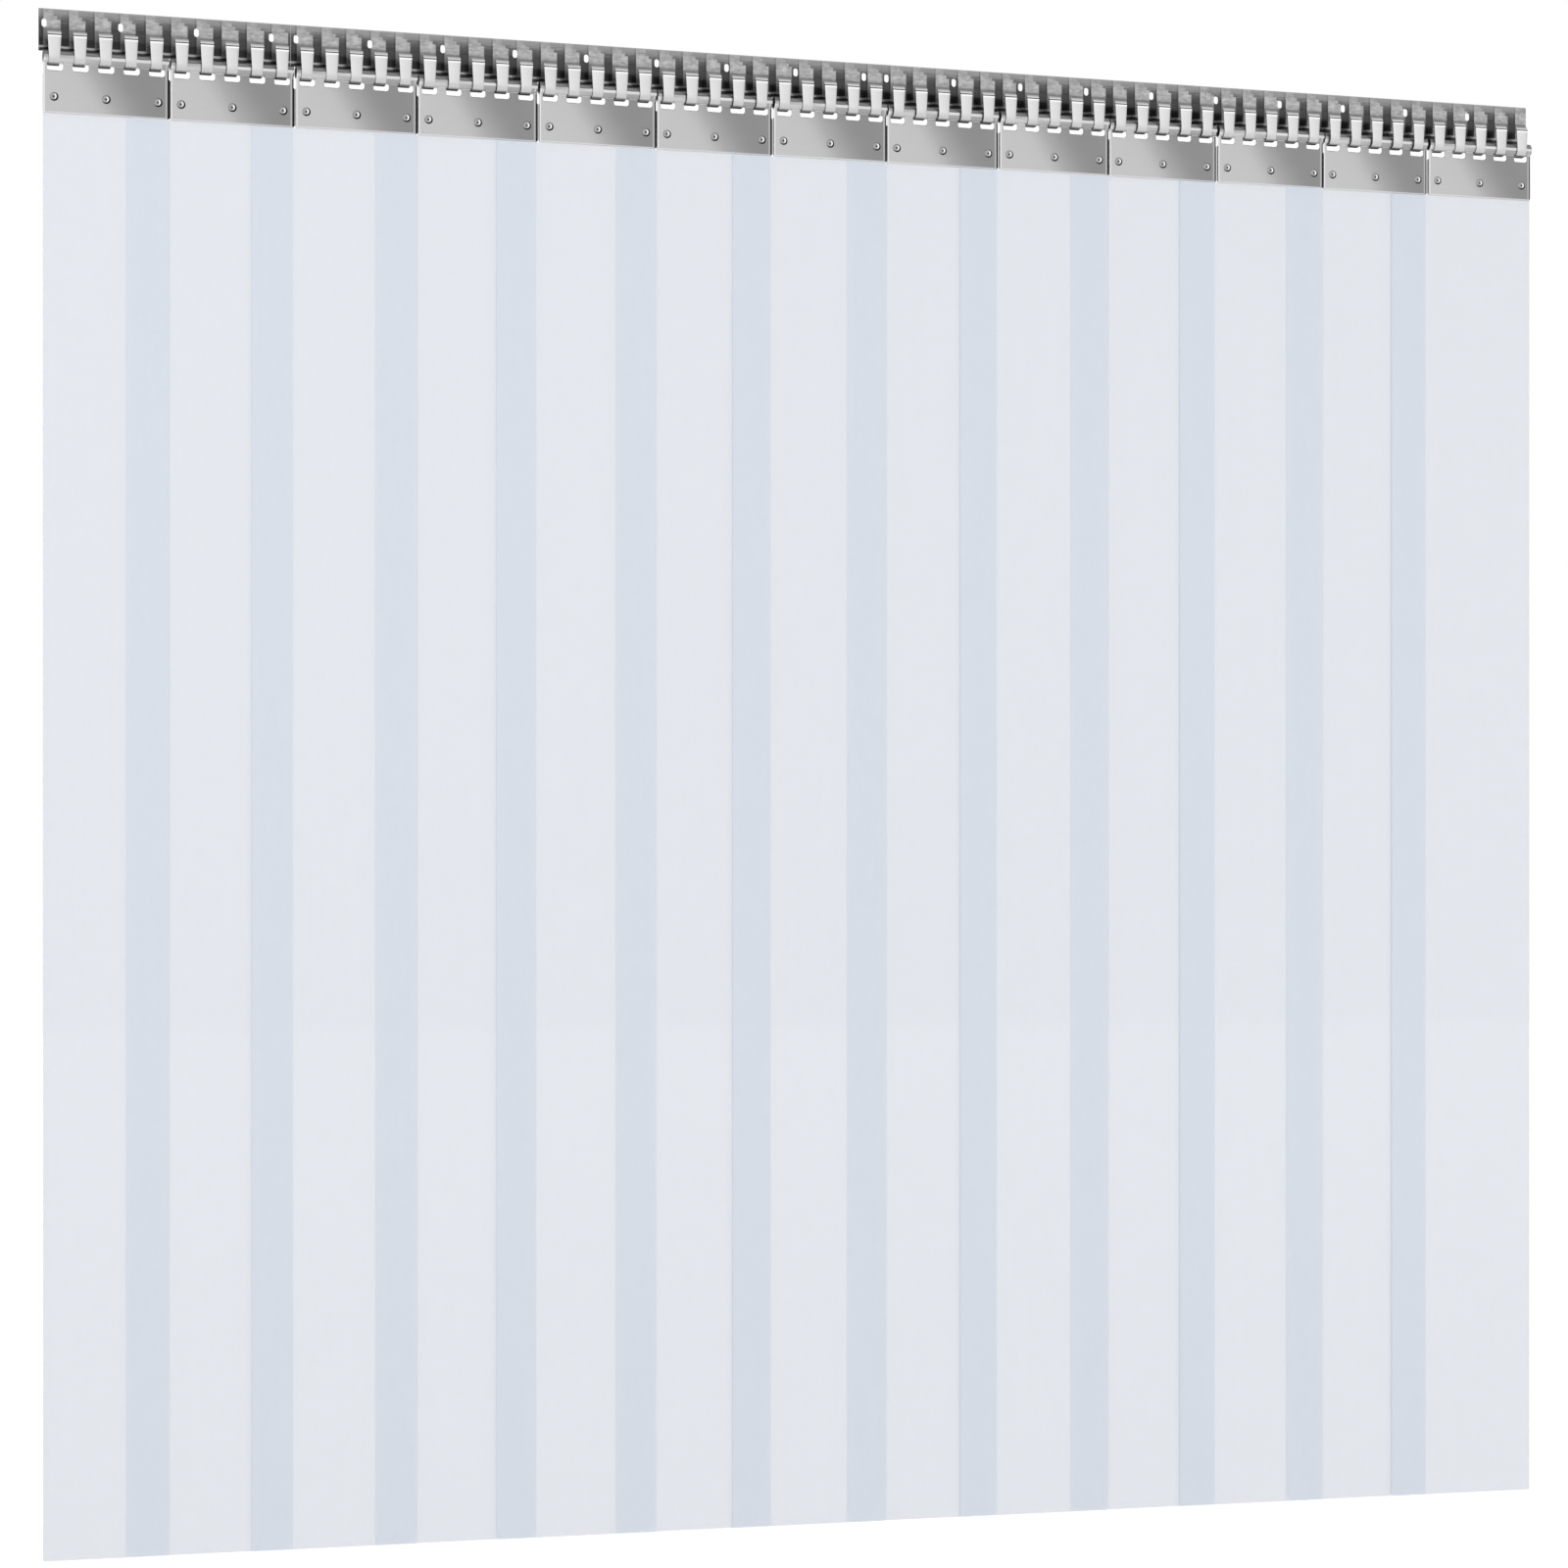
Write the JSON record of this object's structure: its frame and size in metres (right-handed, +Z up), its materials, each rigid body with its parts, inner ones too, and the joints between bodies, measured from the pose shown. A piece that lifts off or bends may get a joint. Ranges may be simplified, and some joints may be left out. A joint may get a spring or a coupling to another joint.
{
  "type": "strip curtain",
  "caption": "Clear PVC strips riveted between steel plates whose slotted, rolled top edges swing in the upturned hooks of a comb rail on the wall.",
  "frame": {"origin": "on the wall face of the rail, at the middle of the curtain's width and the height of the screw holes", "axes": "+X along the rail, left to right as seen from the front; -Y to the front, away from the wall; +Z up"},
  "size_m": [1.9535, 0.0225, 1.8282],
  "materials": {
    "rail_steel": "bright rolled stainless steel",
    "plate_steel": "brushed stainless steel",
    "clear_pvc": "clear flexible PVC with a faint blue tint"
  },
  "bodies": {
    "rail": {"rail_section_1": "rail_steel", "rail_section_2": "rail_steel", "rail_section_3": "rail_steel", "rail_section_4": "rail_steel", "rail_section_5": "rail_steel"},
    "hanger_01": {"front_plate_01": "plate_steel", "back_plate_01": "plate_steel", "strip_01": "clear_pvc"},
    "hanger_02": {"front_plate_02": "plate_steel", "back_plate_02": "plate_steel", "strip_02": "clear_pvc", "strip_02_lap": "clear_pvc"},
    "hanger_03": {"front_plate_03": "plate_steel", "back_plate_03": "plate_steel", "strip_03": "clear_pvc", "strip_03_lap": "clear_pvc"},
    "hanger_04": {"front_plate_04": "plate_steel", "back_plate_04": "plate_steel", "strip_04": "clear_pvc", "strip_04_lap": "clear_pvc"},
    "hanger_05": {"front_plate_05": "plate_steel", "back_plate_05": "plate_steel", "strip_05": "clear_pvc", "strip_05_lap": "clear_pvc"},
    "hanger_06": {"front_plate_06": "plate_steel", "back_plate_06": "plate_steel", "strip_06": "clear_pvc", "strip_06_lap": "clear_pvc"},
    "hanger_07": {"front_plate_07": "plate_steel", "back_plate_07": "plate_steel", "strip_07": "clear_pvc", "strip_07_lap": "clear_pvc"},
    "hanger_08": {"front_plate_08": "plate_steel", "back_plate_08": "plate_steel", "strip_08": "clear_pvc", "strip_08_lap": "clear_pvc"},
    "hanger_09": {"front_plate_09": "plate_steel", "back_plate_09": "plate_steel", "strip_09": "clear_pvc", "strip_09_lap": "clear_pvc"},
    "hanger_10": {"front_plate_10": "plate_steel", "back_plate_10": "plate_steel", "strip_10": "clear_pvc", "strip_10_lap": "clear_pvc"},
    "hanger_11": {"front_plate_11": "plate_steel", "back_plate_11": "plate_steel", "strip_11": "clear_pvc", "strip_11_lap": "clear_pvc"},
    "hanger_12": {"front_plate_12": "plate_steel", "back_plate_12": "plate_steel", "strip_12": "clear_pvc", "strip_12_lap": "clear_pvc"},
    "hanger_13": {"front_plate_13": "plate_steel", "back_plate_13": "plate_steel", "strip_13": "clear_pvc", "strip_13_lap": "clear_pvc"}
  },
  "joints": [
    {"name": "swing_01", "type": "hinge", "parent": "rail", "child": "hanger_01", "pos_m": [-0.9, -0.0124, -0.042], "axis": [-1, 0, 0], "range_deg": [0, 75]},
    {"name": "swing_02", "type": "hinge", "parent": "rail", "child": "hanger_02", "pos_m": [-0.75, -0.0101, -0.042], "axis": [-1, 0, 0], "range_deg": [-75, 0]},
    {"name": "swing_03", "type": "hinge", "parent": "rail", "child": "hanger_03", "pos_m": [-0.6, -0.0124, -0.042], "axis": [-1, 0, 0], "range_deg": [0, 75]},
    {"name": "swing_04", "type": "hinge", "parent": "rail", "child": "hanger_04", "pos_m": [-0.45, -0.0101, -0.042], "axis": [-1, 0, 0], "range_deg": [-75, 0]},
    {"name": "swing_05", "type": "hinge", "parent": "rail", "child": "hanger_05", "pos_m": [-0.3, -0.0124, -0.042], "axis": [-1, 0, 0], "range_deg": [0, 75]},
    {"name": "swing_06", "type": "hinge", "parent": "rail", "child": "hanger_06", "pos_m": [-0.15, -0.0101, -0.042], "axis": [-1, 0, 0], "range_deg": [-75, 0]},
    {"name": "swing_07", "type": "hinge", "parent": "rail", "child": "hanger_07", "pos_m": [0, -0.0124, -0.042], "axis": [-1, 0, 0], "range_deg": [0, 75]},
    {"name": "swing_08", "type": "hinge", "parent": "rail", "child": "hanger_08", "pos_m": [0.15, -0.0101, -0.042], "axis": [-1, 0, 0], "range_deg": [-75, 0]},
    {"name": "swing_09", "type": "hinge", "parent": "rail", "child": "hanger_09", "pos_m": [0.3, -0.0124, -0.042], "axis": [-1, 0, 0], "range_deg": [0, 75]},
    {"name": "swing_10", "type": "hinge", "parent": "rail", "child": "hanger_10", "pos_m": [0.45, -0.0101, -0.042], "axis": [-1, 0, 0], "range_deg": [-75, 0]},
    {"name": "swing_11", "type": "hinge", "parent": "rail", "child": "hanger_11", "pos_m": [0.6, -0.0124, -0.042], "axis": [-1, 0, 0], "range_deg": [0, 75]},
    {"name": "swing_12", "type": "hinge", "parent": "rail", "child": "hanger_12", "pos_m": [0.75, -0.0101, -0.042], "axis": [-1, 0, 0], "range_deg": [-75, 0]},
    {"name": "swing_13", "type": "hinge", "parent": "rail", "child": "hanger_13", "pos_m": [0.9, -0.0124, -0.042], "axis": [-1, 0, 0], "range_deg": [0, 75]}
  ]
}
